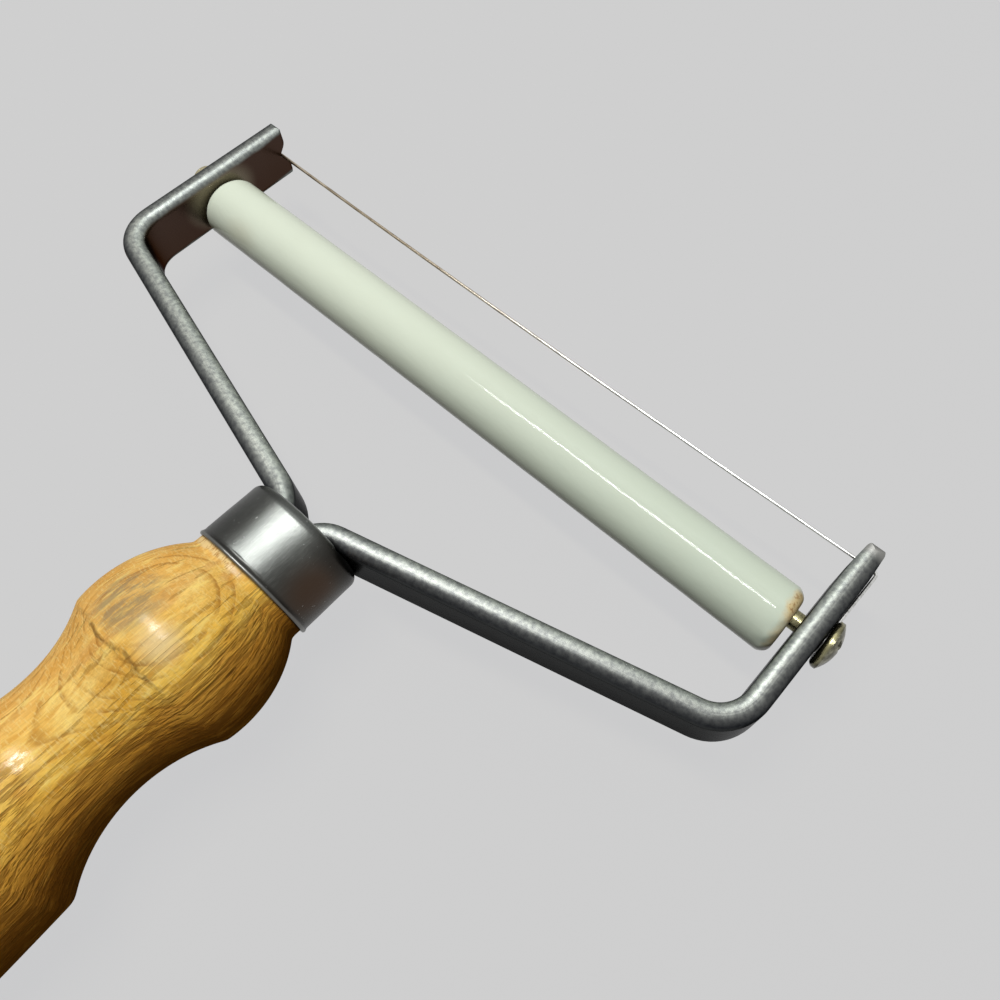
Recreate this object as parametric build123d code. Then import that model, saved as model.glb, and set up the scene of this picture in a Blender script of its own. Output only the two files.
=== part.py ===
from build123d import *
import math
import os

# A hand slicer for cheese: two bent strips stand in a turned handle and hold a cutting wire
# and a loose roller that sets the thickness of the slice. Millimetres and degrees.
# The origin is the centre of the handle's flat butt face. +Y runs along the handle to the
# wire, +X along the roller, and +Z is square to the frame, which lies in the plane Z = 0.

# Frame strips
half_span = 60.0            # middle plane to an ear's outer face, level with the axle
strip_width = 9.5
strip_thickness = 3.3
strip_edge_radius = 1.5
ear_reach = 13.7            # axle to the tips of the ears
ear_drop = 17.1             # axle to the corner where arm and ear meet
root_drop = 31.4            # axle to the corner where arm and tang meet
root_rise = 0.2             # ferrule's front edge to that corner
ear_flare = 2.9             # each ear leans outward by this angle
ear_bend_radius = 6.3       # along the strip's middle
root_bend_left = 7.0
root_bend_right = 4.5
tang_length = 38.0
tang_gap = 0.2              # between the two tangs

# Ear tips and their wire notches
taper_length = 5.0
tip_taper = 0.4             # lost from each side at the tip
tip_rounding = 0.95         # of the tip's two edges along Z
notch_mouth = 4.2
notch_depth_left = 2.0
notch_depth_right = 1.4
lobe_radius = 1.1
tip_corner_near = 1.0       # the corner at +Z
tip_corner_far = 1.7
notch_floor_radius = 0.4

# Handle
handle_length = 109.9       # butt face to the ferrule's back edge
neck_radius = 8.5           # the bare neck between ferrule and bulge
neck_length = 1.3
neck_softening = 0.6
bulge_length = 13.1
bulge_crown = 1.55          # how far the bulge stands over its chord
first_ridge_radius = 12.0
cove_length = 21.6
cove_depth = 3.5            # how far the cove sinks under its chord
second_ridge_radius = 12.85
grip_crown = 0.9
butt_radius = 12.3
butt_rounding = 5.5
ridge_softening = 0.35
nose_recess = 1.6           # wood inside the ferrule ends this far below its rim

# Ferrule
ferrule_radius = 8.85
ferrule_wall = 0.7
ferrule_length = 9.5
ferrule_rim_turn = 1.5      # how far the front rim turns in
ferrule_rim_radius = 1.3
ferrule_lip = 0.15          # how far the back lip stands out
ferrule_lip_length = 0.45

# Roller, a loose tube that hangs on the axle
roller_radius = 5.05
roller_gap_left = 0.1       # from its end to the ear, at the ear's closest
roller_gap_right = 0.9
roller_drop = 1.8           # its axis lies this far under the axle
roller_lag = 0.45           # and this far towards the handle
roller_end_radius = 1.2
roller_bore_chamfer = 0.3

# Axle screw and its cap nut
axle_radius = 1.35
head_radius = 3.48
head_rim = 1.05
head_dome = 1.15
head_edge_radius = 0.7      # under the head's rim
nut_radius = 2.15
nut_rim = 1.9
nut_dome = 0.9
nut_edge_radius = 0.3
nut_roof = 1.0              # metal left over the end of the screw
slot_width = 0.9
slot_depth = 0.7
end_chamfer = 0.3

# Cutting wire
wire_radius = 0.25
wire_bow = 1.0              # the span's middle corner lies this far towards the roller
wire_lift = 0.2             # gap between the wire and an ear where it turns over the notch
hook_lead = 0.5             # from the edge of the screw's head to the corner over it
hook_tail = 0.6
hook_room = 0.15            # round the hook in the head's recess
notch_turn_radius = 0.8
lead_turn_radius = 6.0
bow_turn_share = 0.9        # of the half span taken by the arc of the bow
hook_turn_share = 0.98      # of the hook's half width taken by its arcs

# Clearances
fit_clearance = 0.05        # radial, of a pin or a wire beside what carries it
hole_clearance = 0.1        # radial, of the axle in the ears
bed_clearance = 0.15        # round the strips in the wood and in the ferrule's rim
overrun = 2.0               # how far a cut runs past what it cuts

ferrule_front = handle_length + ferrule_length
root_height = ferrule_front + root_rise
axle_height = root_height + root_drop
bend_height = axle_height - ear_drop
tip_height = axle_height + ear_reach
flare_slope = math.tan(math.radians(ear_flare))
hook_radius = axle_radius + wire_radius + fit_clearance


def ear_face(y):
    """X of the right ear's outer face at the height y."""
    return half_span + (y - axle_height) * flare_slope


def wire_bed(y):
    """X of the wire's middle line where it lies along the ear's outer face."""
    return ear_face(y) + fit_clearance + wire_radius


def over_wire(radius):
    """X just over the wire where it leaves the underside of a head or nut of that radius."""
    return wire_bed(axle_height + radius) + wire_radius + fit_clearance


head_seat = ear_face(axle_height + head_radius) + fit_clearance
nut_seat = over_wire(nut_radius)


def arc_middle(start, end, rise):
    """Middle point of the arc that stands over a chord by rise, to the chord's right."""
    run_x = end[0] - start[0]
    run_y = end[1] - start[1]
    chord = math.hypot(run_x, run_y)
    middle_x = (start[0] + end[0]) / 2 + rise * run_y / chord
    middle_y = (start[1] + end[1]) / 2 - rise * run_x / chord
    return (middle_x, middle_y)


def round_corners(face, points, radius):
    """A flat face with its corners at the given points rounded."""
    corners = []
    for point in points:
        corners.append(min(face.vertices(), key=lambda v: math.dist((v.X, v.Y), point)))
    return fillet(corners, radius)


def bent_strip(root_bend, grow=0):
    """The right strip: from the end of its tang, round two bends, to the tip of its ear.
    Its section is larger by grow all round."""
    tang_x = strip_thickness / 2 + tang_gap / 2
    middle_offset = strip_thickness / 2 / math.cos(math.radians(ear_flare))
    points = [
        (tang_x, root_height - tang_length),
        (tang_x, root_height),
        (ear_face(bend_height) - middle_offset, bend_height),
        (ear_face(tip_height) - middle_offset, tip_height),
    ]
    path = FilletPolyline(*points, radius=[root_bend, ear_bend_radius])
    section_plane = Plane(origin=path @ 0, x_dir=(0, 0, 1), z_dir=path % 0)
    section = RectangleRounded(strip_width + 2 * grow, strip_thickness + 2 * grow,
                               strip_edge_radius + grow)
    return sweep(section_plane * section, path=path)


def tip_cutter(notch_depth):
    """What is cut from an ear's end: two rounded lobes are left, with a notch between."""
    half_width = strip_width / 2
    half_mouth = notch_mouth / 2
    corners = [(tip_height, -half_width), (tip_height, half_width)]
    lobes = [(tip_height, -half_mouth), (tip_height, half_mouth)]
    floor = (tip_height - notch_depth, 0)
    ear = make_face(Polyline(
        (axle_height, -half_width),
        corners[0],
        lobes[0],
        floor,
        lobes[1],
        corners[1],
        (axle_height, half_width),
        close=True,
    ))
    ear = round_corners(ear, [corners[0]], tip_corner_far)
    ear = round_corners(ear, [corners[1]], tip_corner_near)
    ear = round_corners(ear, lobes, lobe_radius)
    ear = round_corners(ear, [floor], notch_floor_radius)
    blank_length = tip_height - axle_height
    blank = Pos(axle_height + blank_length / 2 + overrun, 0) * Rectangle(
        blank_length, strip_width + 2 * overrun)
    side = Plane(origin=(0, 0, 0), x_dir=(0, 1, 0), z_dir=(1, 0, 0))
    return extrude(side * (blank - ear), amount=half_span + strip_width)


def tip_trimmer():
    """What is cut from an ear's end, seen along Z, so that it tapers to rounded edges."""
    across = strip_thickness / math.cos(math.radians(ear_flare))
    taper_start = tip_height - taper_length
    outer_end = (ear_face(tip_height) - tip_taper, tip_height)
    inner_end = (ear_face(tip_height) - across + tip_taper, tip_height)
    kept = make_face(Polyline(
        (ear_face(taper_start), taper_start),
        outer_end,
        inner_end,
        (ear_face(taper_start) - across, taper_start),
        close=True,
    ))
    kept = round_corners(kept, [outer_end, inner_end], tip_rounding)
    blank = Pos(half_span, taper_start + (taper_length + overrun) / 2) * Rectangle(
        2 * (strip_thickness + overrun), taper_length + overrun)
    return extrude(blank - kept, amount=strip_width, both=True)


def axle_cylinder(radius, start, end):
    """A cylinder about the axle's line from X = start to X = end."""
    plane = Plane(origin=(start, axle_height, 0), z_dir=(1, 0, 0))
    return extrude(plane * Circle(radius), amount=end - start)


def make_arm(root_bend, notch_depth):
    """A right arm: tang, arm and ear in one bent strip, drilled and notched."""
    arm = bent_strip(root_bend) - tip_cutter(notch_depth) - tip_trimmer()
    inner = half_span - strip_thickness - overrun
    return arm - axle_cylinder(axle_radius + hole_clearance, inner, half_span + overrun)


def dome_profile(radius, rim, dome):
    """Half outline of a round head: a short rim and a domed top, as (radius, length)."""
    ball = (radius**2 + dome**2) / (2 * dome)
    middle_radius = radius / 2
    middle_length = rim + dome - ball + math.sqrt(ball**2 - middle_radius**2)
    base = Polyline((0, rim + dome), (0, 0), (radius, 0), (radius, rim))
    top = ThreePointArc((radius, rim), (middle_radius, middle_length), (0, rim + dome))
    return make_face([base, top])


def round_head(radius, rim, dome, edge_radius):
    """A round head on the plane Z = 0, standing along +Z, its lower edge rounded."""
    outline = round_corners(dome_profile(radius, rim, dome), [(radius, 0)], edge_radius)
    return revolve(Plane.XZ * outline, axis=Axis.Z)


def slotted_head():
    """The screw's head: a slot across its dome, and under it a recess for the wire's hook
    with a groove for its lead."""
    slot_floor = head_rim + head_dome - slot_depth
    slot = Pos(0, 0, slot_floor) * Box(
        slot_width, 2 * (head_radius + overrun), slot_depth + overrun,
        align=(Align.CENTER, Align.CENTER, Align.MIN))
    depth = over_wire(head_radius) - head_seat
    reach = hook_radius + wire_radius + hook_room
    recess = extrude(Circle(reach), amount=depth)
    groove = Pos(0, hook_radius, 0) * Box(
        head_radius + overrun, 2 * (wire_radius + hook_room), depth,
        align=(Align.MIN, Align.CENTER, Align.MIN))
    head = round_head(head_radius, head_rim, head_dome, head_edge_radius)
    return head - slot - recess - groove


def on_axle(solid, seat, direction):
    """Places a solid that stands along +Z on the axle's line, at X = seat."""
    plane = Plane(origin=(seat, axle_height, 0), x_dir=(0, 1, 0), z_dir=(direction, 0, 0))
    return plane * solid


def make_axle_screw():
    """The long screw: a slotted round head at +X and a shank through both ears."""
    head = on_axle(slotted_head(), head_seat, 1)
    shank_end = nut_roof - nut_seat - nut_rim - nut_dome
    shank = axle_cylinder(axle_radius, shank_end, head_seat + head_rim)
    tip = shank.faces().sort_by(Axis.X)[0]
    shank = chamfer(tip.edges(), end_chamfer)
    return head + shank


def make_axle_nut():
    """The small cap nut at -X, bored for the end of the screw."""
    nut = on_axle(round_head(nut_radius, nut_rim, nut_dome, nut_edge_radius), -nut_seat, -1)
    bore_end = nut_roof - nut_seat - nut_rim - nut_dome - fit_clearance
    return nut - axle_cylinder(axle_radius + fit_clearance, bore_end, overrun - nut_seat)


def make_roller():
    """The loose tube, its bore touching the top of the axle but for a clearance."""
    hang = math.hypot(roller_drop, roller_lag)
    bore_radius = axle_radius + hang + fit_clearance
    back_edge = axle_height - roller_lag - roller_radius
    room = ear_face(back_edge) - strip_thickness / math.cos(math.radians(ear_flare))
    start = roller_gap_left - room
    end = room - roller_gap_right
    wall = make_face(Polyline(
        (start, bore_radius + roller_bore_chamfer),
        (start, roller_radius),
        (end, roller_radius),
        (end, bore_radius + roller_bore_chamfer),
        (end - roller_bore_chamfer, bore_radius),
        (start + roller_bore_chamfer, bore_radius),
        close=True,
    ))
    wall = round_corners(wall, [(start, roller_radius), (end, roller_radius)], roller_end_radius)
    return Pos(0, axle_height - roller_lag, -roller_drop) * revolve(wall, axis=Axis.X)


def strip_beds():
    """What the wood and the ferrule's rim lose to the two strips."""
    left = mirror(bent_strip(root_bend_left, bed_clearance), about=Plane.YZ)
    return left + bent_strip(root_bend_right, bed_clearance)


def make_handle():
    """The turned wood: nose, neck, bulge, cove and grip, morticed for the tangs."""
    nose_radius = ferrule_radius - ferrule_wall - fit_clearance
    nose_end = ferrule_front - nose_recess - ferrule_wall
    neck_end = handle_length - neck_length
    first_ridge = neck_end - bulge_length
    second_ridge = first_ridge - cove_length
    shoulder = (neck_radius, neck_end)
    ridge_one = (first_ridge_radius, first_ridge)
    ridge_two = (second_ridge_radius, second_ridge)
    butt = (butt_radius, 0)
    bulge = ThreePointArc(shoulder, arc_middle(ridge_one, shoulder, bulge_crown), ridge_one)
    cove = ThreePointArc(ridge_one, arc_middle(ridge_two, ridge_one, -cove_depth), ridge_two)
    grip = ThreePointArc(ridge_two, arc_middle(butt, ridge_two, grip_crown), butt)
    rest = Polyline(butt, (0, 0), (0, nose_end), (nose_radius, nose_end),
                    (nose_radius, handle_length), (neck_radius, handle_length), shoulder)
    outline = make_face([bulge, cove, grip, rest])
    outline = round_corners(outline, [butt], butt_rounding)
    outline = round_corners(outline, [ridge_one, ridge_two], ridge_softening)
    outline = round_corners(outline, [shoulder], neck_softening)
    mortise_floor = root_height - tang_length - bed_clearance
    mortise_depth = nose_end - mortise_floor + overrun
    mortise = Pos(0, mortise_floor + mortise_depth / 2, 0) * Box(
        tang_gap + 2 * (strip_thickness + bed_clearance),
        mortise_depth,
        strip_width + 2 * bed_clearance)
    return revolve(outline, axis=Axis.Y) - mortise - strip_beds()


def make_ferrule():
    """The steel ring over the handle's nose, its front rim turned in and relieved under
    the two strips."""
    inner = ferrule_radius - ferrule_wall
    opening = ferrule_radius - ferrule_rim_turn
    lip_radius = ferrule_radius + ferrule_lip
    lip_end = handle_length + ferrule_lip_length
    outline = make_face(Polyline(
        (inner, handle_length),
        (lip_radius, handle_length),
        (lip_radius, lip_end),
        (ferrule_radius, lip_end + ferrule_lip),
        (ferrule_radius, ferrule_front),
        (opening, ferrule_front),
        (opening, ferrule_front - ferrule_wall),
        (inner, ferrule_front - ferrule_wall),
        close=True,
    ))
    outline = round_corners(outline, [(ferrule_radius, ferrule_front)], ferrule_rim_radius)
    outline = round_corners(outline, [(inner, ferrule_front - ferrule_wall)],
                            ferrule_rim_radius - ferrule_wall)
    return revolve(outline, axis=Axis.Y) - strip_beds()


def notch_floor(notch_depth):
    """Height of a notch's rounded floor, over the corner that its sides would meet in."""
    flank = math.hypot(notch_depth, notch_mouth / 2)
    rounding = notch_floor_radius * (flank / (notch_mouth / 2) - 1)
    return tip_height - notch_depth + rounding


def wire_side(side, notch_depth):
    """Corners of the wire on one side, from the tail at the axle out to the notch."""
    turn_x = ear_face(tip_height) + wire_radius + wire_lift
    sink = wire_bow / turn_x * (strip_thickness + wire_radius + wire_lift)
    wire_height = notch_floor(notch_depth) + wire_radius + fit_clearance + sink
    hook = [
        (axle_height + hook_tail, -hook_radius),
        (axle_height - hook_radius, -hook_radius),
        (axle_height - hook_radius, hook_radius),
        (axle_height + head_radius + hook_lead, hook_radius),
    ]
    corners = [(side * wire_bed(y), y, z) for y, z in hook]
    return [*corners, (side * turn_x, wire_height, 0)], wire_height


def make_wire():
    """The wire: a hook round the axle outside each ear, over both notches, and the span."""
    left, left_height = wire_side(-1, notch_depth_left)
    right, right_height = wire_side(1, notch_depth_right)
    middle = (0, (left_height + right_height) / 2 - wire_bow, 0)
    half_run = right[-1][0]
    bow_turn = 2 * math.atan(wire_bow / half_run)
    bow_radius = bow_turn_share * half_run / math.tan(bow_turn / 2)
    hook_turn = hook_radius * hook_turn_share
    side_turns = [hook_turn, hook_turn, lead_turn_radius, notch_turn_radius]
    route = FilletPolyline(*left, middle, *reversed(right),
                           radius=[*side_turns, bow_radius, *reversed(side_turns)])
    section_plane = Plane(origin=route @ 0, z_dir=route % 0)
    tube = sweep(section_plane * Circle(wire_radius), path=route)
    even = math.pi * wire_radius**2 * route.length
    print("wire length", round(route.length, 2), "volume over section times length",
          round(tube.volume / even, 4))
    return tube


nodes = {
    "handle": make_handle(),
    "ferrule": make_ferrule(),
    "left_arm": mirror(make_arm(root_bend_left, notch_depth_left), about=Plane.YZ),
    "right_arm": make_arm(root_bend_right, notch_depth_right),
    "axle_screw": make_axle_screw(),
    "axle_nut": make_axle_nut(),
    "roller": make_roller(),
    "cutting_wire": make_wire(),
}

os.makedirs("parts", exist_ok=True)
for name, shape in nodes.items():
    export_step(shape, f"parts/{name}.step")
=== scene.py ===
import bpy
import math
import mathutils
import numpy as np
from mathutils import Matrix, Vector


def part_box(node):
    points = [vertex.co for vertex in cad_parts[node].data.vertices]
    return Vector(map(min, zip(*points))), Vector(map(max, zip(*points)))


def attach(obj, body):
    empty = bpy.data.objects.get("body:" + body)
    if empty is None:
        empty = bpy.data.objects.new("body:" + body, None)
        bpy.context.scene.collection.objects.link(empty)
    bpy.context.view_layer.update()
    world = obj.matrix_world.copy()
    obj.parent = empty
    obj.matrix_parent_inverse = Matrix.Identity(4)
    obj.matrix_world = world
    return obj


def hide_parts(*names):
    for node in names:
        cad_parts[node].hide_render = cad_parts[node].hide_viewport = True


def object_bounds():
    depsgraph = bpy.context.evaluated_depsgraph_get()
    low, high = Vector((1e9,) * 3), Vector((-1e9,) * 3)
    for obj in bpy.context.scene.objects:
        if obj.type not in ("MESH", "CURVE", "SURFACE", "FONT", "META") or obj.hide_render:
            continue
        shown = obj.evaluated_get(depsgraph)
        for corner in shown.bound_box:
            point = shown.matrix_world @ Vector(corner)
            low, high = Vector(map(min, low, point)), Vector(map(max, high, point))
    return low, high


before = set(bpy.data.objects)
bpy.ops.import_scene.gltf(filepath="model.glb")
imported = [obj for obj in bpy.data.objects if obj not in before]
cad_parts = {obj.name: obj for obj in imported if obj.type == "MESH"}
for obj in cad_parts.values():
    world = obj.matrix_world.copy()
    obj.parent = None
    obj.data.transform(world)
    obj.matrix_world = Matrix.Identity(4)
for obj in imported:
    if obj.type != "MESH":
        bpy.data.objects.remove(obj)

# The looks of a hand slicer for cheese. The scene is in metres. Shapes and patterns are worked
# out in millimetres, in the part's frame: +Y runs along the handle to the wire, +X along the
# roller to the screw's head, and +Z is square to the frame and faces up.
CAD_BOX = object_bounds()
MM = 0.001

# Camera, at the photograph's viewing angle
CAMERA_PLACE = (0.05246, 0.10655, 0.10014)
CAMERA_AZIMUTH = 33.49
CAMERA_ELEVATION = 60.40
CAMERA_ROLL = 6.59
CAMERA_LENS = 29.175
CAMERA_SENSOR = 36.0
CAMERA_SHIFT = (-0.10, -0.05)
CAMERA_NEAR = 0.005

# Light and floor
BACKGROUND = 0.63           # the photograph's plain grey
AMBIENT = 0.09              # the same world, as a light on the object
FLOOR_SEEN = (0.757, 0.759, 0.768)      # its lit share brings this to the background's grey
FLOOR_SHOWS_LIGHT = 0.22    # share of the floor's look that takes the object's shadow
FLOOR_COLOUR = (0.15, 0.14, 0.11)
FLOOR_SIZE = 3.0
FLOOR_GAP = 0.0002          # from the lowest point of the object
LAMP_AIM = (0.0, 0.13, 0.0)
KEY_PLACE = (-0.095, 0.140, 0.62)       # overhead, where it gives the ferrule its light band
KEY_SIZE = (0.36, 0.065)                # narrow along Y, so that the roller shows it as a line
KEY_POWER = 3.6
FILL_PLACE = (-0.10, 0.44, 0.60)
FILL_SIZE = (0.50, 0.30)
FILL_POWER = 0.6

# The handle's turned shape, in millimetres along and square to its axis, as in the part
HANDLE_LENGTH = 109.9       # butt face to the ferrule's back edge
NECK_RADIUS = 8.5
NECK_LENGTH = 1.3
BULGE_LENGTH = 13.1
BULGE_CROWN = 1.55
FIRST_RIDGE_RADIUS = 12.0
COVE_LENGTH = 21.6
COVE_DEPTH = 3.5
SECOND_RIDGE_RADIUS = 12.85
GRIP_CROWN = 0.9
BUTT_RADIUS = 12.3
BUTT_ROUNDING = 5.5
NOSE_RADIUS = 8.1           # of the wood inside the ferrule
NOSE_RECESS = 2.3           # from the ferrule's front edge to the end of that wood

# What the scene adds to that shape, in millimetres and degrees round the handle
NOSE_STEP = 0.05            # between the neck and the nose, along the axis
CENTRE_RADIUS = 0.02        # middle of an end face, closed by one polygon
OUTLINE_STEP = 0.22         # between the points of the evened outline
EASING = 0.25               # share of the way to its neighbours' middle that a point goes
EASING_PASSES = 4
HANDLE_COLUMNS = 360
GRIP_POINTS = 160
COVE_POINTS = 60            # and of the bulge
ROUNDING_POINTS = 24        # and of the butt's flat
NECK_POINTS = 12
HAND_TURNING = 0.05         # height of the lathe's unevenness
HAND_TURNING_WAVES = 0.16   # of it, per millimetre
STILL_RADIUS = 3.0          # nearer to the axis the butt face stays flat
CREASE_DROP = 0.35          # from the first ridge to the crease under it
CREASE_DEPTH = 0.24
CREASE_HALF_WIDTH = 0.28
CREASE_SIDE = 88.0
CREASE_SPREAD = 42.0        # to each side of it
CREASE_WAVES = 0.9          # of its change in depth, per millimetre
CREASE_CHANGE = (0.8, 0.35)     # its mean depth and the change about it, as shares of the depth

# The ferrule, in millimetres
FERRULE_RADIUS = 8.85
FERRULE_WALL = 0.7
FERRULE_LENGTH = 9.5
RIM_TURN = 1.5              # how far the front rim turns in
RIM_RADIUS = 1.3
LIP = 0.15                  # how far the back lip stands out
LIP_LENGTH = 0.45
LIP_CROWN = 0.1
LIP_BACK_INSET = 0.12
LIP_FRONT_INSET = 0.06
GROOVE_DEPTH = 0.05         # of the groove in front of the lip
GROOVE_LENGTH = 0.55
GROOVE_SPACE = 0.6          # from the lip to the plain side
MOUTH_STEP = (0.1, 0.03)    # radius and height from the rim's arc to the opening
FERRULE_COLUMNS = 420
LIP_POINTS = 10
GROOVE_POINTS = 8
SIDE_POINTS = 44
RIM_POINTS = 14
MOUTH_POINTS = 5
ROLLED_HEIGHT = 0.018       # of the rolled sheet's unevenness
ROLLED_WAVES = 0.5          # of it, per millimetre
LIP_WAVE_HEIGHT = 0.035
LIP_WAVE_TURNS = 3          # times that the lip's unevenness repeats round it
LIP_WAVE_REACH = 1.2

# The strips where they cross the ferrule's rim, in millimetres
STRIP_WIDTH = 9.5
STRIP_THICKNESS = 3.3
STRIP_EDGE_RADIUS = 1.5
ARM_START = (1.75, 119.6)   # along X and Y
ARM_RISE = 14.3             # over its run from the ferrule to the ear's bend
ARM_RUN = 55.4
RIM_RELIEF = 0.12           # room between a strip and the rim

# The roller, in millimetres
ROLLER_RADIUS = 5.05
ROLLER_AXIS = (150.55, -1.8)    # along Y and Z
ROLLER_BORE = 3.256
BORE_CHAMFER = 0.3
BORE_INSET = 2.0            # from an end face to the first ring of points inside the bore
ROLLER_END_RADIUS = 1.2
ROLLER_WORN_RADIUS = 1.6    # its right end, worn by the ear
ROLLER_COLUMNS = 220
ROLLER_ROWS = 420
ROLLER_END_POINTS = 16
BORE_POINTS = 12
RIPPLE_HEIGHT = 0.012
RIPPLE_WAVES = 0.35         # per millimetre
OUTSIDE_REACH = 0.4         # over the bore: ripple and wear lie outside it
WORN_LENGTH = 2.4
CHIP_DEPTH = 0.10
CHIP_CHANGE = 0.09
CHIP_WAVES = 1.6            # per millimetre
CHIP_TURNS = 2              # times that the chips repeat round the end

# The wood's pattern, in millimetres and in degrees round the handle from +X towards +Z
RING_LEAN = (0.06, 0.16)    # rise of the growth rings over a millimetre along X and along Y
RINGS_PER_MM = 1.2
RING_START = 36.45          # places the first ring's loop on the crest of the bulge
# faces away from the lamp; the wood's colour is drawn darker towards it as painted shade
UNLIT_WOOD_SIDE = -15.0
UPPER_SIDE = 125.0
NECK_SIDE = 122.0
SKIN_RADIUS = 8.0           # the even handle that marks are drawn onto,
SKIN_DEPTH = 0.3            # and the share of their depth that marks keep there
CREASE_Y = 95.6
CREASE_REACH = ((0.4, CREASE_Y, 11.2), (9.5, 3.0, 5.0))
STAIN_REACH = ((-2.6, 99.6, 11.6), (5.2, 5.0, 5.0))
ROUGH_PATCH = ((4.0, 79.5, 9.0), (5.0, 3.6, 4.0))
RUBBED_PATCH = ((3.9, 98.9, 11.4), (3.6, 3.2, 3.0))
COVE_VARNISH = ((3.0, 81.6, 8.8), (3.2, 5.0, 2.5))
BULGE_VARNISH = ((3.2, 99.8, 11.6), (2.4, 3.0, 2.5))
GRAIN_RELIEF = 0.00013      # metres

# The wood's colours
WOOD_CLOUDS = [(0.32, (0.76, 0.435, 0.085)), (0.46, (0.84, 0.530, 0.135)),
               (0.58, (0.91, 0.640, 0.200)), (0.72, (0.81, 0.490, 0.110))]
FIBRE_TINTS = [(0.30, (0.72, 0.66, 0.56)), (0.68, (1.20, 1.19, 1.10))]
# painted shade: a warmer tint towards the side away from the lamp
SHADE_SIDE_TINT = (1.06, 0.98, 0.60)
RUST = (0.66, 0.350, 0.120)
# painted shade on the side away from the lamp
SHADE_BROWN = (0.60, 0.270, 0.034)
ORANGE_SIDE = (0.74, 0.385, 0.095)
# deepest painted shade, on the far side from the lamp
DEEP_SHADE_BROWN = (0.33, 0.130, 0.016)
LATE_WOOD = (0.380, 0.165, 0.028)
OPEN_PORES = (0.215, 0.085, 0.013)
LONG_PORES = (0.230, 0.110, 0.018)
ORANGE_PATCH = (0.66, 0.310, 0.045)
GOLD_PATCH = (0.97, 0.740, 0.220)
PALE_FLECK = (0.92, 0.70, 0.26)
RUBBED_WOOD = (0.84, 0.640, 0.320)
HAND_STAIN = (0.275, 0.205, 0.115)
# painted shade in the crease under the first ridge
CREASE_SHADE = (0.110, 0.055, 0.016)
# the neck's pale bare wood, drawn on its lit upper side only: partly painted light
LIT_BARE_WOOD = (0.80, 0.60, 0.28)
BARE_TICKS = (0.42, 0.21, 0.06)
NECK_SHADE = (0.10, 0.055, 0.02)

# The ferrule's colours and places, those along it in millimetres from its back edge
FERRULE_CLOUDS = ((0.100, 0.106, 0.100), (0.140, 0.147, 0.138))
FERRULE_SCRATCH = (0.190, 0.200, 0.186)
FERRULE_BACK_TINT = (0.58, 0.58, 0.58)
FERRULE_SHADE = (0.050, 0.042, 0.034)
# painted dark reflection on the ferrule's upper left side
FERRULE_LEFT_DARK_REFLECTION = (0.045, 0.044, 0.040)
# painted brown reflection on the ferrule's lower right
FERRULE_BROWN_REFLECTION = (0.075, 0.044, 0.028)
# painted shade at the front of the ferrule's shaded side
FERRULE_FRONT_SHADE = (0.022, 0.020, 0.018)
FERRULE_DOT = (0.45, 0.46, 0.44)
# darker in the groove in front of the lip
GROOVE_DARK = (0.030, 0.028, 0.025)
# rubbed bright lip, with painted highlight
LIP_WEAR_AND_HIGHLIGHT = (0.30, 0.30, 0.28)
# rubbed bright rim, with painted highlight
RIM_WEAR_AND_HIGHLIGHT = (0.34, 0.35, 0.33)
SHADED_SIDE = 5.0           # degrees round the axis, as for the wood
BROWN_REFLECTION_REACH = ((8.4, 114.0, 3.6), (4.5, 5.5, 5.5))
DULLED_BACK = (8.6, 1.8)
SHADED_FRONT = (5.5, 8.5)
LIP_BRIGHT = (0.50, 0.30)
GROOVE_OPENS = (0.30, 0.55)
GROOVE_CLOSES = (1.1, 0.6)
RIM_BRIGHT = (FERRULE_LENGTH - 0.40, FERRULE_LENGTH - 0.12)
FINE_RELIEF = 0.00003       # metres

# The strips' colours and places, in millimetres
EDGE_START = (0.55, 1.15)   # past the end of the flat
EDGE_LEAN = 0.20            # how far the worn edges' shading normals lean off the window
WINDOW_SLOPE = 0.7          # share of X and of Y in the direction to the window
LEAN_SHARES = (1.0, 0.35, 1.0)      # of that direction, so that ears lean more than arms
FLAT_LIT_Z = (-3.0, 4.4)
OUTER_RIGHT_X = (57.6, 58.4)
INNER_LEFT_X = (-50.0, -55.5)
LEFT_ARM_X = (-3.0, -9.0)
LEFT_ARM_Y = (139.0, 134.0)
RIGHT_ARM_X = (9.0, 16.0)
RIGHT_ARM_INWARD = (-0.10, 0.30)
TIP_Y = (162.2, 163.8)
TIP_X = (0.0, 1.0)
STRIP_TINT = (0.35, 0.35, 0.35, 1.0)
# painted shade and dark reflection on the flats, lighter towards their top
FLAT_UNDER_SHADE = (0.026, 0.026, 0.026)
FLAT_LIT = (0.066, 0.068, 0.068)
# painted shade on the right ear's outer face
OUTER_RIGHT_SHADE = (0.012, 0.012, 0.012)
# painted brown reflection on the left ear's inner face
INNER_LEFT_REFLECTION = (0.068, 0.037, 0.025)
MIRRORED_ROLLER = (0.210, 0.180, 0.130)
MIRRORED_REACH = ((-56.7, 149.9, 0.6), (2.6, 7.6, 6.0))
# rubbed plating, with painted highlight: brighter where the edge faces the window
EDGE_ZINC_AND_HIGHLIGHT = [(0.10, (0.030, 0.032, 0.036)), (0.34, (0.110, 0.114, 0.113)),
        (0.52, (0.215, 0.225, 0.212)), (0.66, (0.255, 0.275, 0.258)),
        (0.90, (0.190, 0.205, 0.195))]
ZINC_WEAR = [(0.36, (0.72, 0.72, 0.74)), (0.62, (1.20, 1.20, 1.17))]
# painted light on the ear's tip
ZINC_TIP_PAINTED_LIGHT = (0.34, 0.34, 0.32)
# painted light on the left arm
LEFT_ARM_PAINTED_LIGHT = (1.9, 1.9, 1.85)
# painted light on the right arm
RIGHT_ARM_PAINTED_LIGHT = (1.45, 1.45, 1.42)

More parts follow.
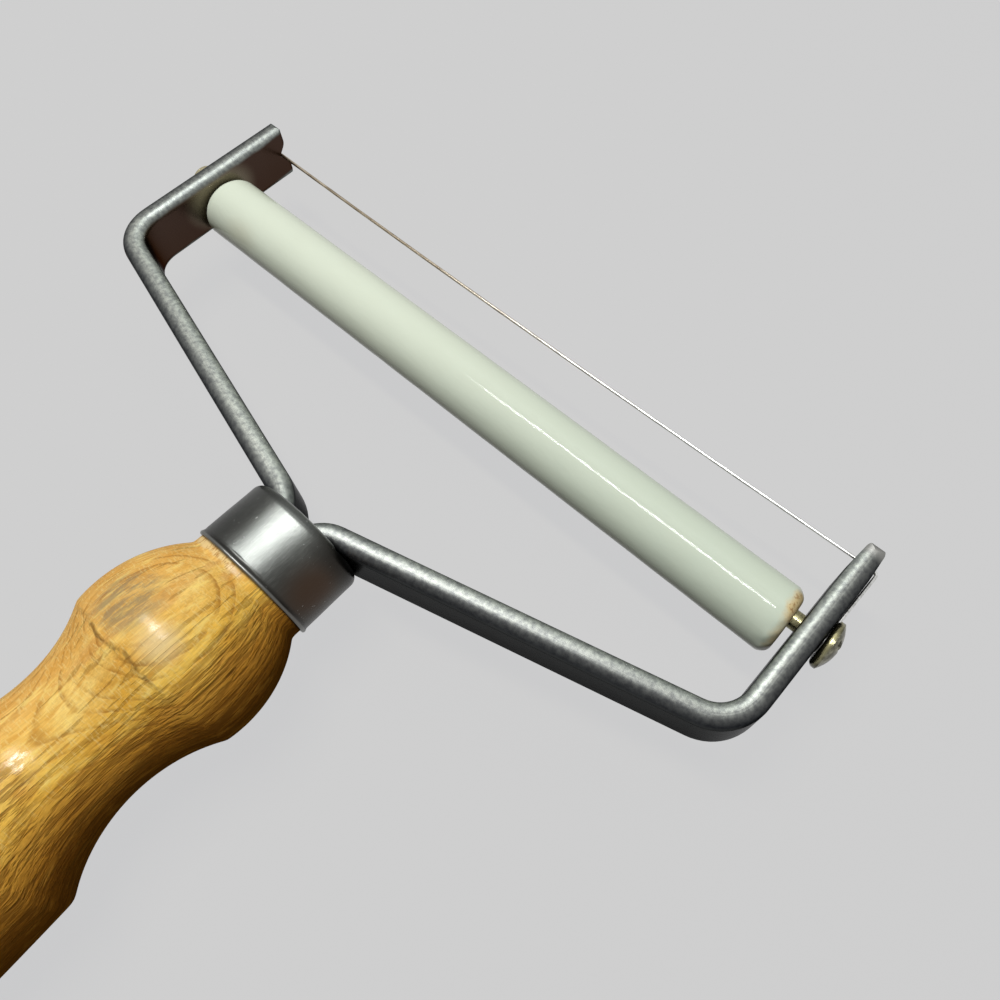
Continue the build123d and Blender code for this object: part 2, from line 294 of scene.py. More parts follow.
# The colours and places of the screw, its nut and the wire, in millimetres
AXLE_Y = 151.0
UNDER_HEAD_X = (61.3, 60.8)
NUT_X = (-59.0, -60.0)
SHADED_Z = (0.8, -2.2)      # level with the axle; it rises by SHADE_SLOPE towards the handle
SHADE_SLOPE = 0.5
WIRE_CLEANED_X = (-30.0, 35.0)
SCREW_RELIEF = 0.00005      # metres
WIRE_RELIEF = 0.00002
SCREW_CLOUDS = [(0.34, (0.060, 0.056, 0.034)), (0.50, (0.150, 0.142, 0.092)),
                (0.64, (0.300, 0.290, 0.205))]
# painted glint under the screw's head
UNDER_HEAD_GLINT = (0.42, 0.385, 0.20)
SCREW_SHADE = (0.036, 0.032, 0.026)
NUT_YELLOW = (0.70, 0.62, 0.42)
WIRE_BROWN = [(0.36, (0.26, 0.205, 0.140)), (0.60, (0.58, 0.50, 0.38))]
WIRE_WHITE = [(0.36, (0.55, 0.55, 0.53)), (0.60, (0.88, 0.88, 0.86))]

# The roller's colours and places, in millimetres
SHELL_X = (45.0, -30.0)     # from its right colour to its left one
YELLOWED_REACH = (-0.5, 1.5)    # from its right end, with the ragged edge's waver
SHELL_RIGHT = (0.600, 0.675, 0.555)
SHELL_LEFT = (0.700, 0.760, 0.625)
SHELL_CLOUD = (0.63, 0.66, 0.52)
SMUDGE = (0.56, 0.53, 0.38)
SMUDGE_REACH = ((-47.3, 145.6, 1.5), (5.0, 3.4, 4.0))
YELLOWED = (0.66, 0.50, 0.24)
END_DIRT = (0.33, 0.17, 0.06)
END_PATCH_OFFSET = (1.5, 2.6)       # along Y from the roller's axis, and its height
END_PATCH_SIZE = (3.4, 3.6, 3.2)
SHELL_RELIEF = 0.00002      # metres


def add_camera():
    data = bpy.data.cameras.new("camera")
    data.sensor_width = CAMERA_SENSOR
    data.lens = CAMERA_LENS
    data.shift_x, data.shift_y = CAMERA_SHIFT
    data.clip_start = CAMERA_NEAR
    camera = bpy.data.objects.new("camera", data)
    tilt = mathutils.Euler((math.radians(90 - CAMERA_ELEVATION), 0, math.radians(CAMERA_AZIMUTH)))
    roll = mathutils.Matrix.Rotation(math.radians(CAMERA_ROLL), 4, "Z")
    place = mathutils.Matrix.Translation(CAMERA_PLACE)
    camera.matrix_world = place @ tilt.to_matrix().to_4x4() @ roll
    bpy.context.scene.collection.objects.link(camera)
    bpy.context.scene.camera = camera


# Node helpers
def new_material(name):
    material = bpy.data.materials.new(name)
    material.use_nodes = True
    return material, material.node_tree, material.node_tree.nodes["Principled BSDF"]


def node(tree, kind, inputs=(), **settings):
    """Adds a node. inputs pairs a socket's name or number with a value or another socket."""
    made = tree.nodes.new(kind)
    for key, value in settings.items():
        setattr(made, key, value)
    for key, value in dict(inputs).items():
        join(tree, value, made.inputs[key])
    return made


def join(tree, value, socket):
    """Links a socket to value, or sets it to value where that is a number or a colour."""
    if isinstance(value, bpy.types.NodeSocket):
        tree.links.new(value, socket)
    elif isinstance(value, tuple) and len(value) == 3 and socket.type == "RGBA":
        socket.default_value = (*value, 1)
    else:
        socket.default_value = value


def calc(tree, operation, a, b=0.0, c=0.0):
    return node(tree, "ShaderNodeMath", {0: a, 1: b, 2: c}, operation=operation).outputs[0]


def times(tree, first, *others):
    for other in others:
        first = calc(tree, "MULTIPLY", first, other)
    return first


def times_plus(tree, value, factor, offset):
    return calc(tree, "MULTIPLY_ADD", value, factor, offset)


def fade(tree, value, low, high):
    """0 below low and 1 over high, smooth between; falls where low is over high."""
    made = node(tree, "ShaderNodeMapRange", {"Value": value, "From Min": low, "From Max": high},
                interpolation_type="SMOOTHSTEP")
    return made.outputs["Result"]


def mix(tree, factor, a, b, blend="MIX"):
    made = node(tree, "ShaderNodeMix", data_type="RGBA", blend_type=blend)
    join(tree, factor, made.inputs[0])
    join(tree, a, made.inputs[6])
    join(tree, b, made.inputs[7])
    return made.outputs[2]


def tinted(tree, tone, factors):
    return mix(tree, 1.0, tone, factors, "MULTIPLY")


def layered(tree, tone, layers):
    """Lays the colour of each (mask, share, colour) over a tone, at most by its share."""
    for mask, share, colour in layers:
        tone = mix(tree, times(tree, mask, share), tone, colour)
    return tone


def blend_value(tree, factor, a, b):
    return node(tree, "ShaderNodeMix", {0: factor, 2: a, 3: b}).outputs[0]


def vector(tree, operation, a, b=(0.0, 0.0, 0.0)):
    made = node(tree, "ShaderNodeVectorMath", {0: a, 1: b}, operation=operation)
    return made.outputs["Value" if operation in ("LENGTH", "DOT_PRODUCT") else "Vector"]


def stretched(tree, place, factors):
    return vector(tree, "MULTIPLY", place, factors)


def coordinate(tree, place, axis):
    return node(tree, "ShaderNodeSeparateXYZ", {0: place}).outputs[axis]


def millimetres(tree):
    """The place on the piece, in millimetres, in the shared frame."""
    place = node(tree, "ShaderNodeTexCoord").outputs["Object"]
    return stretched(tree, place, (1 / MM, 1 / MM, 1 / MM))


def noise(tree, place, scale, detail=2.0, rough=0.5):
    made = node(tree, "ShaderNodeTexNoise", {
        "Vector": place, "Scale": scale, "Detail": detail, "Roughness": rough})
    return made.outputs["Fac"]


def drawn_noise(tree, place, waves, detail=2.0, rough=0.5):
    """Noise with its own number of waves per millimetre along each axis."""
    return noise(tree, stretched(tree, place, waves), 1.0, detail, rough)


def ramp(tree, factor, stops):
    made = node(tree, "ShaderNodeValToRGB", {"Fac": factor})
    elements = made.color_ramp.elements
    while len(elements) < len(stops):
        elements.new(0.5)
    for element, (position, colour) in zip(elements, stops):
        element.position = position
        element.color = (*colour, 1)
    return made.outputs["Color"]


def bump(tree, height, distance, normal=None):
    made = node(tree, "ShaderNodeBump", {"Height": height, "Distance": distance, "Strength": 1.0})
    if normal is not None:
        join(tree, normal, made.inputs["Normal"])
    return made.outputs["Normal"]


def spot(tree, place, ellipsoid, soft):
    """1 inside an ellipsoid, given as its centre and half axes, fading over the share soft."""
    centre, reach = ellipsoid
    away = vector(tree, "ADD", place, tuple(-value for value in centre))
    scaled = stretched(tree, away, tuple(1 / value for value in reach))
    return fade(tree, vector(tree, "LENGTH", scaled), 1.0, 1.0 - soft)


def outward(tree, place):
    """The direction from the handle's axis to a place."""
    return vector(tree, "NORMALIZE", stretched(tree, place, (1.0, 0.0, 1.0)))


def facing(tree, place, degrees):
    """Cosine of the turn about the handle's axis from a direction to a place."""
    turn = math.radians(degrees)
    direction = (math.cos(turn), 0.0, math.sin(turn))
    return vector(tree, "DOT_PRODUCT", outward(tree, place), direction)


# Mesh helpers
def mesh_object(name, points, faces, material):
    mesh = bpy.data.meshes.new(name)
    mesh.from_pydata([tuple(point) for point in points], [], [tuple(face) for face in faces])
    mesh.update()
    mesh.polygons.foreach_set("use_smooth", [True] * len(mesh.polygons))
    mesh.materials.append(material)
    made = bpy.data.objects.new(name, mesh)
    bpy.context.scene.collection.objects.link(made)
    return made


def ring_faces(rows, columns, closed):
    """Quads of a lathed grid; closed joins its last row to its first."""
    faces = []
    for row in range(rows if closed else rows - 1):
        here, after = row * columns, (row + 1) % rows * columns
        for column in range(columns):
            beside = (column + 1) % columns
            faces.append((here + column, here + beside, after + beside, after + column))
    return faces


def value_noise(seed, u, v):
    """Smooth noise of about -1 to 1 over two arrays, repeating in u after 1."""
    waves = 14
    draws = np.random.default_rng(seed)
    total = np.zeros_like(u)
    for _ in range(waves):
        turns = draws.integers(1, 7)
        along = draws.uniform(0.3, 2.2)
        phase, shift = draws.uniform(0, 2 * math.pi, 2)
        total += np.sin(2 * math.pi * turns * u + phase) * np.sin(along * v + shift)
    return total / math.sqrt(waves)


def arc_points(start, end, rise, count):
    """Points on the arc over a chord by rise, to the chord's right, with both ends."""
    start, end = np.array(start, float), np.array(end, float)
    chord = np.linalg.norm(end - start)
    radius = (chord**2 / 4 + rise**2) / (2 * abs(rise))
    side = np.array([end[1] - start[1], start[0] - end[0]]) / chord * math.copysign(1, rise)
    centre = (start + end) / 2 + side * (abs(rise) - radius)
    half = math.asin(chord / 2 / radius)
    run = (end - start) / chord
    turns = np.linspace(-half, half, count)[:, None]
    return centre + radius * (np.cos(turns) * side + np.sin(turns) * run)


def corner_arc(centre, radius, start, end, count):
    """Points of an arc about centre between two turns in radians."""
    turns = np.linspace(start, end, count)
    return np.c_[centre[0] + radius * np.cos(turns), centre[1] + radius * np.sin(turns)]


def eased(line):
    """A line's points set at even steps, with its corners eased."""
    steps = np.r_[0, np.cumsum(np.linalg.norm(np.diff(line, axis=0), axis=1))]
    even = np.linspace(0, steps[-1], int(steps[-1] / OUTLINE_STEP))
    line = np.c_[np.interp(even, steps, line[:, 0]), np.interp(even, steps, line[:, 1])]
    for _ in range(EASING_PASSES):
        middles = (line[:-2] + line[2:]) / 2
        line[1:-1] += EASING * (middles - line[1:-1])
    return line


def lathed(outline, columns):
    """Grids of the angle, its share of a full turn, the radius and the height of a half outline."""
    angle = np.linspace(0, 2 * math.pi, columns, endpoint=False)
    angles = np.tile(angle, (len(outline), 1))
    radii = np.tile(outline[:, :1], (1, columns))
    heights = np.tile(outline[:, 1:], (1, columns))
    return angles, angles / (2 * math.pi), radii, heights


# The handle
def handle_outline():
    """Half outline of the handle as (radius, height), from the middle of its butt."""
    neck_end = HANDLE_LENGTH - NECK_LENGTH
    butt = (BUTT_RADIUS, 0.0)
    first_ridge = (FIRST_RIDGE_RADIUS, neck_end - BULGE_LENGTH)
    second_ridge = (SECOND_RIDGE_RADIUS, first_ridge[1] - COVE_LENGTH)
    shoulder = (NECK_RADIUS, neck_end)
    grip = arc_points(butt, second_ridge, GRIP_CROWN, GRIP_POINTS)
    edge_radius = grip[np.argmin(abs(grip[:, 1] - BUTT_ROUNDING))][0]
    rounding = corner_arc((edge_radius - BUTT_ROUNDING, BUTT_ROUNDING), BUTT_ROUNDING,
                          -math.pi / 2, 0, ROUNDING_POINTS)
    foot = np.linspace((CENTRE_RADIUS, 0.0), rounding[0], ROUNDING_POINTS)[:-1]
    grip = grip[grip[:, 1] > BUTT_ROUNDING]
    cove = arc_points(second_ridge, first_ridge, -COVE_DEPTH, COVE_POINTS)
    bulge = arc_points(first_ridge, shoulder, BULGE_CROWN, COVE_POINTS)
    bare_neck = np.linspace(shoulder, (NECK_RADIUS, HANDLE_LENGTH), NECK_POINTS)
    body = eased(np.concatenate([foot, rounding, grip, cove[1:], bulge[1:], bare_neck[1:]]))
    top = HANDLE_LENGTH + FERRULE_LENGTH - NOSE_RECESS
    nose = [(NOSE_RADIUS, HANDLE_LENGTH + NOSE_STEP), (NOSE_RADIUS, top), (CENTRE_RADIUS, top)]
    return np.concatenate([body, nose])


def crease_depth(angles, turn, heights):
    """Depth of the crease that goes part of the way round under the first ridge."""
    crease_y = HANDLE_LENGTH - NECK_LENGTH - BULGE_LENGTH - CREASE_DROP
    side = (np.degrees(angles) - CREASE_SIDE + 180) % 360 - 180
    across = np.exp(-((heights - crease_y) / CREASE_HALF_WIDTH)**2)
    mean, change = CREASE_CHANGE
    wobble = mean + change * value_noise(8, turn, heights * CREASE_WAVES)
    return CREASE_DEPTH * across * np.exp(-(side / CREASE_SPREAD)**4) * wobble


def add_handle(material):
    outline = handle_outline()
    angles, turn, radii, heights = lathed(outline, HANDLE_COLUMNS)
    uneven = HAND_TURNING * value_noise(3, turn, heights * HAND_TURNING_WAVES)
    in_the_open = (heights < HANDLE_LENGTH) & (radii > STILL_RADIUS)
    radii = radii + np.where(in_the_open, uneven - crease_depth(angles, turn, heights), 0)
    points = np.stack([radii * np.cos(angles), heights, radii * np.sin(angles)], -1)
    faces = ring_faces(len(outline), HANDLE_COLUMNS, False)
    last = (len(outline) - 1) * HANDLE_COLUMNS
    faces.append(tuple(range(HANDLE_COLUMNS)))
    faces.append(tuple(range(last + HANDLE_COLUMNS - 1, last - 1, -1)))
    made = mesh_object("handle_wood", points.reshape(-1, 3) * MM, faces, material)
    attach(made, "frame")
    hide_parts("handle")


# The ferrule
def ferrule_outline():
    """Closed outline of the ferrule's wall as (radius, height)."""
    front = HANDLE_LENGTH + FERRULE_LENGTH
    lip_end = HANDLE_LENGTH + LIP_LENGTH
    lip_radius = FERRULE_RADIUS + LIP
    opening = FERRULE_RADIUS - RIM_TURN
    rim_centre = (FERRULE_RADIUS - RIM_RADIUS, front - RIM_RADIUS)
    lip = arc_points((lip_radius - LIP_BACK_INSET, HANDLE_LENGTH),
                     (lip_radius - LIP_FRONT_INSET, lip_end), LIP_CROWN, LIP_POINTS)
    groove = arc_points(lip[-1], (FERRULE_RADIUS, lip_end + GROOVE_LENGTH), -GROOVE_DEPTH,
                        GROOVE_POINTS)
    side = np.linspace((FERRULE_RADIUS, lip_end + GROOVE_SPACE),
                       (FERRULE_RADIUS, rim_centre[1]), SIDE_POINTS)
    rim = corner_arc(rim_centre, RIM_RADIUS, 0, math.pi / 2, RIM_POINTS)
    mouth = np.linspace((opening + MOUTH_STEP[0], front - MOUTH_STEP[1]),
                        (opening, front - FERRULE_WALL), MOUTH_POINTS)
    inner_bend = corner_arc(rim_centre, RIM_RADIUS - FERRULE_WALL, math.pi / 2, 0, RIM_POINTS)
    back = [(FERRULE_RADIUS - FERRULE_WALL, HANDLE_LENGTH)]
    return np.concatenate([lip, groove[1:], side, rim[1:], mouth, inner_bend, back])


def add_ferrule(material):
    outline = ferrule_outline()
    angles, turn, radii, heights = lathed(outline, FERRULE_COLUMNS)
    radii = radii + ROLLED_HEIGHT * value_noise(21, turn, heights * ROLLED_WAVES)
    near_lip = np.clip((HANDLE_LENGTH + LIP_WAVE_REACH - heights) / LIP_WAVE_REACH, 0, 1)
    lip_wave = LIP_WAVE_HEIGHT * value_noise(22, turn * LIP_WAVE_TURNS % 1, heights)
    radii = radii + near_lip * lip_wave
    x, z = radii * np.cos(angles), radii * np.sin(angles)
    slope = ARM_RISE / ARM_RUN
    under_strip = (ARM_START[1] + (abs(x) - ARM_START[0]) * slope
                   - STRIP_THICKNESS / 2 * math.hypot(1, slope) - RIM_RELIEF)
    covered = abs(z) < STRIP_WIDTH / 2 + RIM_RELIEF
    heights = np.where(covered, np.minimum(heights, under_strip), heights)
    points = np.stack([x, heights, z], -1)
    faces = ring_faces(len(outline), FERRULE_COLUMNS, True)
    made = mesh_object("ferrule_ring", points.reshape(-1, 3) * MM, faces, material)
    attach(made, "frame")
    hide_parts("ferrule")


# The roller
def rounded_end(x, radius, direction):
    """Quarter arc from a roller's end face, at x, to its side, as (x, radius)."""
    turns = np.linspace(0, math.pi / 2, ROLLER_END_POINTS)
    centre = x - direction * radius
    return np.c_[centre + direction * radius * np.cos(turns),
                 ROLLER_RADIUS - radius + radius * np.sin(turns)]


def roller_outline(left, right):
    """Closed outline of the roller's wall as (x, radius)."""
    start = rounded_end(left, ROLLER_END_RADIUS, -1)
    end = rounded_end(right, ROLLER_WORN_RADIUS, 1)[::-1]
    side = np.linspace(start[-1], end[0], ROLLER_ROWS)[1:-1]
    bore_end = [(right, ROLLER_BORE + BORE_CHAMFER), (right - BORE_CHAMFER, ROLLER_BORE)]
    bore = np.linspace((right - BORE_INSET, ROLLER_BORE), (left + BORE_INSET, ROLLER_BORE),
                       BORE_POINTS)
    bore_start = [(left + BORE_CHAMFER, ROLLER_BORE), (left, ROLLER_BORE + BORE_CHAMFER)]
    return np.concatenate([start, side, end, bore_end, bore, bore_start])


def add_roller(material):
    low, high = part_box("roller")
    left, right = low.x / MM, high.x / MM
    outline = roller_outline(left, right)
    angles, turn, radii, lengths = lathed(outline[:, ::-1], ROLLER_COLUMNS)
    over_bore = radii - ROLLER_BORE - OUTSIDE_REACH
    ripple = RIPPLE_HEIGHT * value_noise(31, turn, lengths * RIPPLE_WAVES)
    worn = np.clip((lengths - right + WORN_LENGTH) / WORN_LENGTH, 0, 1) * np.clip(over_bore, 0, 1)
    uneven = value_noise(33, turn * CHIP_TURNS % 1, lengths * CHIP_WAVES)
    chips = worn * (CHIP_DEPTH + CHIP_CHANGE * uneven)
    radii = radii + np.where(over_bore > 0, ripple, 0) - chips
    points = np.stack([lengths, ROLLER_AXIS[0] + radii * np.cos(angles),
                       ROLLER_AXIS[1] + radii * np.sin(angles)], -1)
    faces = ring_faces(len(outline), ROLLER_COLUMNS, True)
    made = mesh_object("roller_tube", points.reshape(-1, 3) * MM, faces, material)
    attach(made, "roller")
    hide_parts("roller")


# The wood
def grown(tree, place, across, along, detail=2.0, rough=0.55):
    """Noise drawn out along the wood's grain; across and along are waves per millimetre."""
    return drawn_noise(tree, place, (across, along, across), detail, rough)


def growth_rings(tree, place):
    """How far a place is through its growth ring, and how strongly that ring shows."""
    depth = coordinate(tree, place, "Z")
    for axis, lean in zip("XY", RING_LEAN):
        depth = times_plus(tree, coordinate(tree, place, axis), lean, depth)
    for across, along, height in ((0.07, 0.04, 2.2), (0.40, 0.09, 0.40), (2.6, 0.25, 0.06)):
        depth = times_plus(tree, grown(tree, place, across, along), height, depth)
    rings = times_plus(tree, depth, -RINGS_PER_MM, RING_START)
    number = calc(tree, "FLOOR", rings)
    strength = node(tree, "ShaderNodeTexWhiteNoise", {"W": number}, noise_dimensions="1D")
    return calc(tree, "FRACT", rings), strength.outputs["Value"]


def ring_line(tree, place):
    """The dark late wood of each ring, in broken lines."""
    ring, strength = growth_rings(tree, place)
    late = times(tree, fade(tree, ring, 0.58, 0.90), fade(tree, ring, 1.0, 0.91))
    shows = times_plus(tree, strength, 0.60, 0.20)
    broken = fade(tree, noise(tree, place, 0.55, 3.0, 0.6), 0.38, 0.60)
    return times(tree, late, shows, times_plus(tree, broken, 0.80, 0.20))


def hand_stain(tree, place):
    """The grey strokes rubbed in over the first ridge, in front of its crease."""
    patch = spot(tree, place, STAIN_REACH, 0.55)
    strokes = fade(tree, grown(tree, place, 1.5, 0.30, 4.0, 0.65), 0.40, 0.60)
    over_crease = fade(tree, coordinate(tree, place, "Y"), CREASE_Y - 0.1, CREASE_Y + 0.5)
    return times(tree, patch, times_plus(tree, strokes, 0.70, 0.30), over_crease)


def crease_shade(tree, place):
    """Painted shade in the crease under the first ridge, as a wavering broken line."""
    waver = times_plus(tree, grown(tree, place, 0.35, 0.35, 3.0), 2.0, -1.0)
    height = calc(tree, "ADD", coordinate(tree, place, "Y"), waver)
    off = calc(tree, "ABSOLUTE", calc(tree, "SUBTRACT", height, CREASE_Y))
    bitten = fade(tree, noise(tree, place, 0.8, 2.0, 0.6), 0.36, 0.56)
    return times(tree, fade(tree, off, 0.34, 0.06), spot(tree, place, CREASE_REACH, 0.6),
                 times_plus(tree, bitten, 0.7, 0.3))


def on_skin(tree, place):
    """The place drawn onto one even thickness of handle, so that marks follow its turned shape."""
    even = stretched(tree, outward(tree, place), (SKIN_RADIUS, 0.0, SKIN_RADIUS))
    return vector(tree, "ADD", even, stretched(tree, place, (SKIN_DEPTH, 1.0, SKIN_DEPTH)))


def wood_colour(tree, place, unlit_side):
    """Honey-coloured wood, drawn golden, brown and deep brown towards the side away from the lamp as
    painted shade.
    """
    tone = ramp(tree, grown(tree, place, 0.26, 0.10, 3.0, 0.6), WOOD_CLOUDS)
    rust = fade(tree, grown(tree, place, 0.40, 0.045), 0.55, 0.66)
    tone = layered(tree, tone, [(rust, 0.5, RUST)])
    # painted shade: golden, then brown, then deep brown towards the side away from the lamp
    tone = mix(tree, fade(tree, unlit_side, -0.15, 0.45), tone, tinted(tree, tone, SHADE_SIDE_TINT))
    upper = fade(tree, facing(tree, place, UPPER_SIDE), 0.80, 0.99)
    return layered(tree, tone, [
        (fade(tree, unlit_side, 0.32, 0.84), 1.0, SHADE_BROWN),
        (upper, 0.7, ORANGE_SIDE),
        (fade(tree, unlit_side, 0.70, 0.98), 1.0, DEEP_SHADE_BROWN)])


def open_pores(tree, skin):
    """The long and the short grooves of the wood's open grain."""
    long_grooves = fade(tree, grown(tree, skin, 1.9, 0.13, 3.0, 0.6), 0.47, 0.60)
    short = fade(tree, grown(tree, skin, 2.8, 0.42, 2.0, 0.6), 0.51, 0.63)
    return calc(tree, "MAXIMUM", long_grooves, times(tree, short, 0.8))


def varnish_left(tree, place, unlit_side):
    """The handle's varnish: thin on top, and thick in a few broken spots."""
    broken = fade(tree, drawn_noise(tree, place, (1.1, 0.5, 1.1), 4.0, 0.65), 0.44, 0.60)
    cove = spot(tree, place, COVE_VARNISH, 0.7)
    bulge = spot(tree, place, BULGE_VARNISH, 0.8)
    places = calc(tree, "MAXIMUM", cove, times(tree, bulge, 0.5))
    top = times(tree, fade(tree, unlit_side, 0.30, -0.10), 0.12)
    return calc(tree, "MAXIMUM", times(tree, places, broken, 0.85), top)


def neck_tone(tree, place, tone):
    """The pale bare neck under the ferrule, drawn only on its upper side towards the lamp as partly
    painted light, with short brown ticks across it, and painted shade next to the ferrule.
    """
    y = coordinate(tree, place, "Y")
    neck_foot = HANDLE_LENGTH - NECK_LENGTH
    waver = times_plus(tree, noise(tree, place, 0.7, 3.0, 0.6), 1.6, y)
    bare = fade(tree, waver, neck_foot + 0.95, neck_foot + 1.35)
    upper = fade(tree, facing(tree, place, NECK_SIDE), 0.58, 0.88)
    ticks = fade(tree, grown(tree, place, 2.4, 0.5, 3.0, 0.65), 0.52, 0.62)
    shade = fade(tree, y, HANDLE_LENGTH - 0.30, HANDLE_LENGTH - 0.02)
    return layered(tree, tone, [
        # pale only on the side towards the lamp: bare wood with painted light
        (times(tree, bare, upper), 0.85, mix(tree, ticks, LIT_BARE_WOOD, BARE_TICKS)),
        (shade, 0.7, NECK_SHADE)])


def wood_material():
    material, tree, shader = new_material("oak")
    place = millimetres(tree)
    skin = on_skin(tree, place)
    waver = times_plus(tree, grown(tree, place, 0.30, 0.10, 3.0), 0.5, -0.25)
    # how far a place faces away from the lamp: the painted shade, the open grain and the thin varnish
    # follow it
    unlit_side = calc(tree, "ADD", facing(tree, place, UNLIT_WOOD_SIDE), waver)
    open_grain = calc(tree, "MAXIMUM", fade(tree, unlit_side, 0.34, 0.60),
                      spot(tree, place, ROUGH_PATCH, 0.6))
    calm = calc(tree, "SUBTRACT", 1.0, open_grain)
    fibre = grown(tree, place, 6.0, 0.35, 3.0, 0.6)
    line = ring_line(tree, place)
    streak = times(tree, open_pores(tree, skin), times_plus(tree, open_grain, 0.60, 0.03))
    long_line = fade(tree, grown(tree, skin, 1.3, 0.035), 0.585, 0.63)
    patches = grown(tree, skin, 0.85, 0.22, 4.0, 0.65)
    flecks = fade(tree, drawn_noise(tree, place, (0.9, 4.0, 0.9), 3.0, 0.65), 0.50, 0.66)
    flecks = times(tree, flecks, calm, 0.40)
    stain = hand_stain(tree, place)

    tone = wood_colour(tree, place, unlit_side)
    tone = mix(tree, 0.55, tone, ramp(tree, fibre, FIBRE_TINTS), "MULTIPLY")
    tone = layered(tree, tone, [
        (line, 1.0, LATE_WOOD),
        (streak, 1.0, OPEN_PORES),
        (long_line, 0.45, LONG_PORES),
        (fade(tree, patches, 0.47, 0.32), 0.55, ORANGE_PATCH),
        (times(tree, fade(tree, patches, 0.53, 0.68), calm), 0.6, GOLD_PATCH),
        (flecks, 1.0, PALE_FLECK),
        (spot(tree, place, RUBBED_PATCH, 0.9), 0.75, RUBBED_WOOD),
        (stain, 0.75, HAND_STAIN),
        # painted shade along the crease
        (crease_shade(tree, place), 0.60, CREASE_SHADE)])
    join(tree, neck_tone(tree, place, tone), shader.inputs["Base Color"])

    rough = blend_value(tree, grown(tree, place, 0.7, 0.5, 4.0, 0.6), 0.36, 0.62)
    join(tree, times_plus(tree, stain, 0.2, rough), shader.inputs["Roughness"])
    shader.inputs["Specular IOR Level"].default_value = 0.0
    shader.inputs["Coat Roughness"].default_value = 0.16
    join(tree, varnish_left(tree, place, unlit_side), shader.inputs["Coat Weight"])
    relief = times(tree, fibre, 0.30)
    for mark, height in ((line, -0.30), (streak, -1.00), (long_line, -0.30), (flecks, 0.35)):
        relief = times_plus(tree, mark, height, relief)
    join(tree, bump(tree, relief, GRAIN_RELIEF), shader.inputs["Normal"])
    return material


# The metals
def new_metal(name):
    material, tree, shader = new_material(name)
    shader.inputs["Metallic"].default_value = 1.0
    return material, tree, shader, millimetres(tree)


def ferrule_material():
    """Brushed sheet, dull and darkened by painted shade on its shaded side and front, with painted
    dark reflections on its left and lower right, and rubbed bright at its lip and rim, with painted
    highlight there.
    """
    material, tree, shader, place = new_metal("ferrule_steel")
    shader.inputs["Anisotropic"].default_value = 0.55
    tangent = node(tree, "ShaderNodeTangent", direction_type="RADIAL", axis="Y")
    join(tree, tangent.outputs["Tangent"], shader.inputs["Tangent"])
    along = calc(tree, "SUBTRACT", coordinate(tree, place, "Y"), HANDLE_LENGTH)
    drawn = grown(tree, place, 9.0, 0.55, 4.0, 0.70)
    dots = fade(tree, drawn_noise(tree, place, (2.6, 1.6, 2.6)), 0.70, 0.76)
    shaded = fade(tree, facing(tree, place, SHADED_SIDE), 0.45, 0.92)
    left = fade(tree, facing(tree, place, NECK_SIDE), 0.86, 0.98)
    groove = times(tree, fade(tree, along, *GROOVE_CLOSES), fade(tree, along, *GROOVE_OPENS))

    tone = mix(tree, noise(tree, place, 0.35, 3.0, 0.6), *FERRULE_CLOUDS)
    tone = layered(tree, tone, [(fade(tree, drawn, 0.44, 0.66), 0.50, FERRULE_SCRATCH)])
    dulled = tinted(tree, tone, FERRULE_BACK_TINT)
    tone = mix(tree, fade(tree, along, *DULLED_BACK), tone, dulled)
    tone = layered(tree, tone, [
        (shaded, 0.70, FERRULE_SHADE),
        # painted dark reflection on the left side
        (left, 0.65, FERRULE_LEFT_DARK_REFLECTION),
        # painted brown reflection on the lower right
        (spot(tree, place, BROWN_REFLECTION_REACH, 0.8), 0.75, FERRULE_BROWN_REFLECTION),
        # painted shade at the front of the shaded side
        (times(tree, shaded, fade(tree, along, *SHADED_FRONT)), 0.75, FERRULE_FRONT_SHADE),
        (dots, 0.5, FERRULE_DOT),
        # darker in the groove in front of the lip
        (groove, 0.7, GROOVE_DARK),
        # rubbed lip and rim, with painted highlight
        (fade(tree, along, *LIP_BRIGHT), 0.4, LIP_WEAR_AND_HIGHLIGHT),
        (fade(tree, along, *RIM_BRIGHT), 0.45, RIM_WEAR_AND_HIGHLIGHT)])
    join(tree, tone, shader.inputs["Base Color"])
    join(tree, blend_value(tree, drawn, 0.23, 0.39), shader.inputs["Roughness"])
    relief = times_plus(tree, dots, 0.6, times(tree, drawn, 0.8))
    join(tree, bump(tree, relief, FINE_RELIEF), shader.inputs["Normal"])
    return material


def leaning_in(tree, x):
    """How far the surface faces the frame's window, and its normal with the rounded edges leant
    away from it, as their inner halves are worn flatter."""
    normal = node(tree, "ShaderNodeNewGeometry").outputs["Normal"]
    side = times(tree, calc(tree, "SIGN", x), -WINDOW_SLOPE)
    window = node(tree, "ShaderNodeCombineXYZ", {0: side, 1: WINDOW_SLOPE, 2: 0.0}).outputs[0]
    up = calc(tree, "MAXIMUM", coordinate(tree, normal, "Z"), 0.0)
    off = stretched(tree, window, LEAN_SHARES)
    lean = node(tree, "ShaderNodeVectorMath", {0: off, "Scale": times(tree, up, -EDGE_LEAN)},
                operation="SCALE").outputs["Vector"]
    leant = vector(tree, "NORMALIZE", vector(tree, "ADD", normal, lean))
    return vector(tree, "DOT_PRODUCT", normal, window), leant


